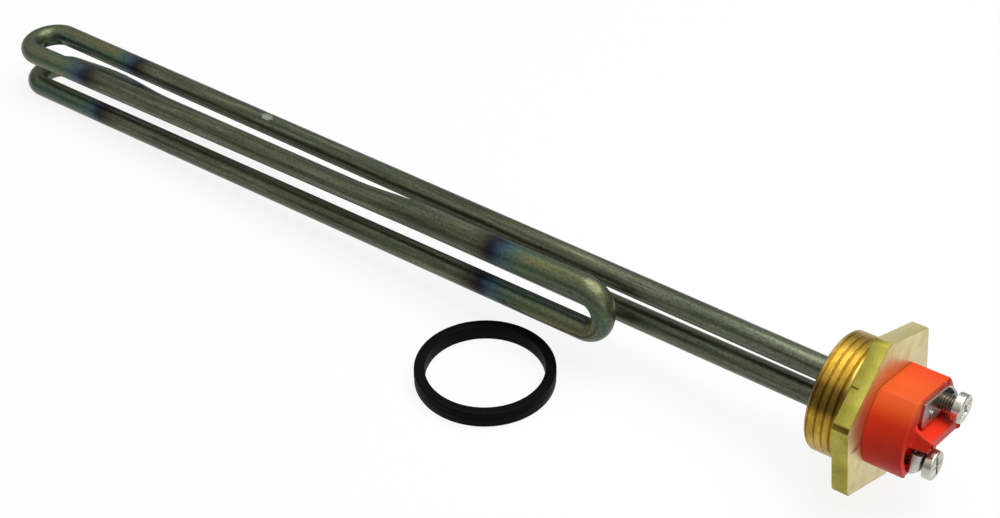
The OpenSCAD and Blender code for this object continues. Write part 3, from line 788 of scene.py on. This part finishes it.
def strapField(s, b):
    def field(p):
        x, y, z = np.moveaxis(p, -1, 0)
        t = s["thick"]
        sheet = roundMax(x - s["toX"], slab(z, s["low"], s["high"]), s["bendR"])
        gap = roundMax(x - s["toX"] + t, slab(z, s["low"] + t, s["high"] - t), s["innerBendR"])
        cleared = np.maximum(x - s["toX"] + s["back"], (s["low"] + s["high"]) / 2 - z)
        side = np.maximum(np.maximum(sheet, -gap), np.maximum(-cleared, s["fromX"] - x))
        wide = roundMax(s["inner"] - y, slab(x, s["fromX"], s["stepAt"]), s["innerRound"])
        plan = roundMin(np.maximum(wide, y - s["outer"]), slab(y, s["lipFrom"], s["outer"]), s["stepFillet"])
        body = roundMax(side, plan, s["edge"])
        cutW, cutH = s["cut"]
        corner = ((y - s["outer"] + cutW) * cutH + (z - s["high"]) * cutW) / np.hypot(cutW, cutH)
        body = roundMax(body, corner, s["edge"])
        for holeX, holeY, r in (b["pin"], (*b["screwHole"][:2], s["screwR"])):
            body = roundMax(body, r - np.hypot(x - holeX, y - holeY), s["holeEdge"])
        return body
    return field


def headField(s, driveTurn):
    # drum with a rounded face, a shallow slot and a deeper tapering cross in it; z is 0 under the head
    t = np.radians(driveTurn)

    def field(p):
        x, y, z = np.moveaxis(p, -1, 0)
        u, w = np.abs(np.cos(t) * x + np.sin(t) * y), np.abs(np.cos(t) * y - np.sin(t) * x)
        body = roundMax(np.hypot(x, y) - s["headR"], z - s["headH"], s["topEdge"])
        body = roundMax(body, -z, s["lowEdge"])
        into = s["headH"] - z
        narrow = s["taper"] * into
        slot = roundMax(w - s["slotHalf"], u - s["slotReach"], s["slotEnd"])
        slot = np.maximum(slot, into - s["slotDepth"])
        arms = [np.maximum(a - s["crossHalf"] + s["sideTaper"] * narrow, b - s["crossReach"] + narrow)
                for a, b in ((w, u), (u, w))]
        cross = np.maximum(np.minimum(*arms), into - s["crossDepth"])
        return roundMax(body, -np.minimum(slot, cross), s["driveEdge"])
    return field


def shankSurface(s, axisY, axisZ, underHead):
    # threaded shank along X: a helical V thread that fades out at the tip cone
    x = np.linspace(-s["length"], s["into"], s["rows"])[:, None]
    angle = np.linspace(0, 2 * np.pi, s["around"], endpoint=False)[None]
    u = np.mod(x / s["pitch"] + angle / (2 * np.pi), 1)
    deep = s["depth"] * np.clip((np.abs(2 * u - 1) - s["crest"]) / s["flank"], 0, 1)
    lead = smoothStep(*s["runOut"], x)
    thread = s["shankR"] - s["neck"] * (1 - lead) - deep * lead
    r = np.minimum(thread, s["shankR"] - s["tip"] + (x + s["length"]))
    ring = aroundX(x + underHead, r, angle) + [0, axisY, axisZ]
    first, last = (np.tile(ring[k].mean(0), (1, s["around"], 1)) for k in (0, -1))
    rows = np.concatenate([first, ring, last])
    return rows, gridQuads(*rows.shape[:2], wrapCols=True)


def makePlated(name, dull, bright, roughLow, roughHigh):
    # plated steel: soft patches in tone and gloss, faint scratches
    material, tree, shader = newMaterial(name)
    place = ownPlace(tree)
    patch = patches(tree, place, 260.0, 0.25)
    line = placeGroup(tree, drawLines, Vector=place, Stretch=(1.0, 0.3, 1.0), Scale=1600.0)
    colour = ramp(tree, patch, ((0.0, dull), (1.0, bright)))
    join(tree, shader, Base_Color=colour, Metallic=1.0, Roughness=scaled(tree, patch, roughHigh, roughLow),
         Normal=bumped(tree, line["Fine"], 0.08, 0.03))
    return material


plateFinish = makePlated("platedStrap", (172, 174, 170), (206, 208, 202), 0.28, 0.4)
screwFinish = makePlated("platedScrew", (174, 171, 160), (206, 203, 191), 0.18, 0.32)
# a darker copy of the screw's plating for the shank: painted shade and dark reflection on the thread
shadedShankFinish = makePlated("shadedPlatedThread", (96, 90, 78), (136, 129, 115), 0.24, 0.38)

for side, terminal in terminals.items():
    turn, base = blockFrame(block, terminal["half"]), np.array([block["base"], 0, 0])
    strapNode, screwNode = terminal["nodes"]
    plate = netPiece("terminalStrap" + side, strapField(strap, block),
                     (strap["fromX"], strap["inner"], strap["low"]),
                     (strap["toX"], strap["outer"], strap["high"]), terminalMargin, strap["cell"], base, turn)
    plate.data.materials.append(plateFinish)
    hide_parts(strapNode)
    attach(plate, "heater")

    seat = turn @ np.array([*block["screwHole"][:2], strap["high"] + terminal["gap"]]) + base
    reach = screw["headR"]
    head = netPiece("screwHead" + side, headField(screw, terminal["driveTurn"]), (-reach, -reach, 0),
                    (reach, reach, screw["headH"]), terminalMargin, screw["cell"], seat, turn)
    shank = newPiece("screwShank" + side, *shankSurface(screw, seat[1], seat[2], seat[0]), sharpAngle=60)
    for part, finish in ((head, screwFinish), (shank, shadedShankFinish)):
        part.data.materials.append(finish)
        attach(part, terminal["body"])
    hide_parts(screwNode)
print("terminals made")


# surface that the heater lies on: height under the plug's axis in millimetres, slope along X in degrees
lying = dict(low=-23.665, slope=2.511)
# loose ring lying on it, with a faint mould line at mid height: its half widths at foot and top, its height
gasket = dict(outer=19.85, hole=16.8, thick=4.8, edge=0.45, edgeSteps=6, around=192, x=-102, y=-31.5,
              mould=(0.25, 0.06), flash=0.05)


def makeGasket(g):
    # rounded rectangle turned round the ring's axis
    ringW, t, e = g["outer"] - g["hole"], g["thick"], g["edge"]
    cornerAt = np.array([(1, 1), (-1, 1), (-1, -1), (1, -1)])
    quarter = np.arange(4)[:, None] * np.pi / 2 + np.linspace(0, np.pi / 2, g["edgeSteps"])[None]
    section = (cornerAt[:, None] * [ringW / 2 - e, t / 2 - e]
               + e * np.stack([np.cos(quarter), np.sin(quarter)], -1)).reshape(-1, 2)
    foot, top = g["mould"]
    out = ringW / 2 + g["flash"]
    section = np.concatenate([section, [(ringW / 2, -foot), (out, -top), (out, top), (ringW / 2, foot)]])
    turn = np.linspace(0, 2 * np.pi, g["around"], endpoint=False)[:, None]
    r = g["hole"] + ringW / 2 + section[None, :, 0]
    local = np.stack([r * np.cos(turn), r * np.sin(turn), section[None, :, 1] + 0 * turn], -1)
    local = local + [g["x"], g["y"], t / 2]
    lie = np.radians(lying["slope"])
    tilt = np.array([[np.cos(lie), 0, np.sin(lie)], [0, 1, 0], [-np.sin(lie), 0, np.cos(lie)]])
    points = local @ tilt.T + [0, 0, lying["low"]]
    return newPiece("gasketRing", points, gridQuads(*points.shape[:2], True, True), 45)


gasketPiece = makeGasket(gasket)
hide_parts("gasket")
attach(gasketPiece, "heater")


def makeRubber():
    # black rubber: fine grain, a bloom that dulls it in places
    material, tree, shader = newMaterial("blackRubber")
    place = ownPlace(tree)
    patch = patches(tree, place, 80.0)
    colour = ramp(tree, patch, ((0.0, (3, 3, 3)), (1.0, (8, 8, 8))))
    join(tree, shader, Base_Color=colour, Roughness=scaled(tree, patch, 0.5, 0.64), Specular_IOR_Level=0.05,
         Normal=bumped(tree, noise(tree, place, 2600.0, 4.0), 0.35, 0.06))
    return material


gasketPiece.data.materials.append(makeRubber())
print("gasket made")


def makePlain(name, dark, light, rough, metallic, grainScale):
    material, tree, shader = newMaterial(name)
    patch = patches(tree, ownPlace(tree), grainScale)
    join(tree, shader, Base_Color=ramp(tree, patch, ((0.0, dark), (1.0, light))), Metallic=metallic,
         Roughness=scaled(tree, patch, rough, rough + 0.12), Normal=bumped(tree, patch, 0.2, 0.05))
    return material


# finishes of the solids that stay as they are, inside the heater
inner = {"insulation_core": makePlain("mineralFill", (214, 210, 198), (236, 233, 224), 0.8, 0.0, 300.0),
         "resistance_coil": makePlain("resistanceWire", (110, 108, 104), (148, 146, 140), 0.4, 1.0, 500.0),
         "cold_pin_upper": makePlated("coldPin", (150, 148, 140), (182, 180, 172), 0.25, 0.38),
         "end_seal_upper": makePlain("endSeal", (120, 46, 30), (146, 60, 40), 0.6, 0.0, 300.0)}
inner["cold_pin_lower"], inner["end_seal_lower"] = inner["cold_pin_upper"], inner["end_seal_upper"]
for node, finish in inner.items():
    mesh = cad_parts[node].data
    mesh.materials.clear()
    mesh.materials.append(finish)
print("inner pieces finished")


# floor in millimetres, its tone where it is seen and for the light it throws back; soft lamps: place, aim and
# size in metres, watts; sky: even fill, and what is mirrored from the horizon and from overhead
floor = dict(half=3000, tone=0.98, bounce=0.32, showThrough=0.88)
lamps = dict(overhead=((0.12, 0.15, 0.85), (0.0, 0.0, 0.0), 0.9, 10.0),
             right=((0.95, -0.3, 0.45), (0.0, 0.0, 0.0), 0.6, 1.8),
             left=((-0.8, -0.5, 0.5), (-0.1, 0.0, 0.0), 0.6, 0.4))
sky = dict(fill=0.07, horizon=0.13, zenith=1.0, zenithFrom=0.9)


def seenRay(tree):
    # 1 for rays from the camera and those mirrored or let through, 0 for the light that falls on things
    path = put(tree, "LightPath").outputs
    seen = calc(tree, "MAXIMUM", path["Is Camera Ray"], path["Is Glossy Ray"])
    return calc(tree, "MAXIMUM", seen, path["Is Transmission Ray"])


def makeFloor(f):
    x, y = np.meshgrid(*[np.linspace(-f["half"], f["half"], 3)] * 2, indexing="ij")
    points = np.stack([x, y, lying["low"] - np.tan(np.radians(lying["slope"])) * x], -1)
    ground = newPiece("floor", points, gridQuads(3, 3), merge=False)
    material, tree, shader = newMaterial("paleFloor")
    seen = seenRay(tree)
    join(tree, shader, Base_Color=scaled(tree, seen, f["bounce"], f["tone"]), Roughness=0.9,
         Specular_IOR_Level=0.1)
    glow = put(tree, "Emission", Color=(1, 1, 1, 1), Strength=1.0)
    mix = put(tree, "MixShader", _0=calc(tree, "MULTIPLY", seen, f["showThrough"]), _1=shader.outputs[0],
              _2=glow.outputs[0])
    tree.links.new(mix.outputs[0], tree.nodes["Material Output"].inputs["Surface"])
    ground.data.materials.append(material)


def makeLight():
    world = bpy.data.worlds.new("studio")
    scene.world = world
    world.use_nodes = True
    tree = world.node_tree
    height = put(tree, "SeparateXYZ", Vector=put(tree, "TexCoord").outputs["Generated"]).outputs["Z"]
    dome = mapped(tree, height, 0.0, sky["zenithFrom"], sky["horizon"], sky["zenith"])
    level = scaled(tree, seenRay(tree), sky["fill"], dome)
    join(tree, tree.nodes["Background"], Color=(1, 1, 1, 1), Strength=level)
    for name, (place, aim, size, power) in lamps.items():
        data = bpy.data.lights.new(name, "AREA")
        data.shape, data.size, data.energy = "SQUARE", size, power
        lamp = bpy.data.objects.new(name, data)
        lamp.location = place
        lamp.rotation_euler = (Vector(aim) - Vector(place)).to_track_quat("-Z", "Y").to_euler()
        scene.collection.objects.link(lamp)


makeFloor(floor)
makeLight()
print("floor and light set")
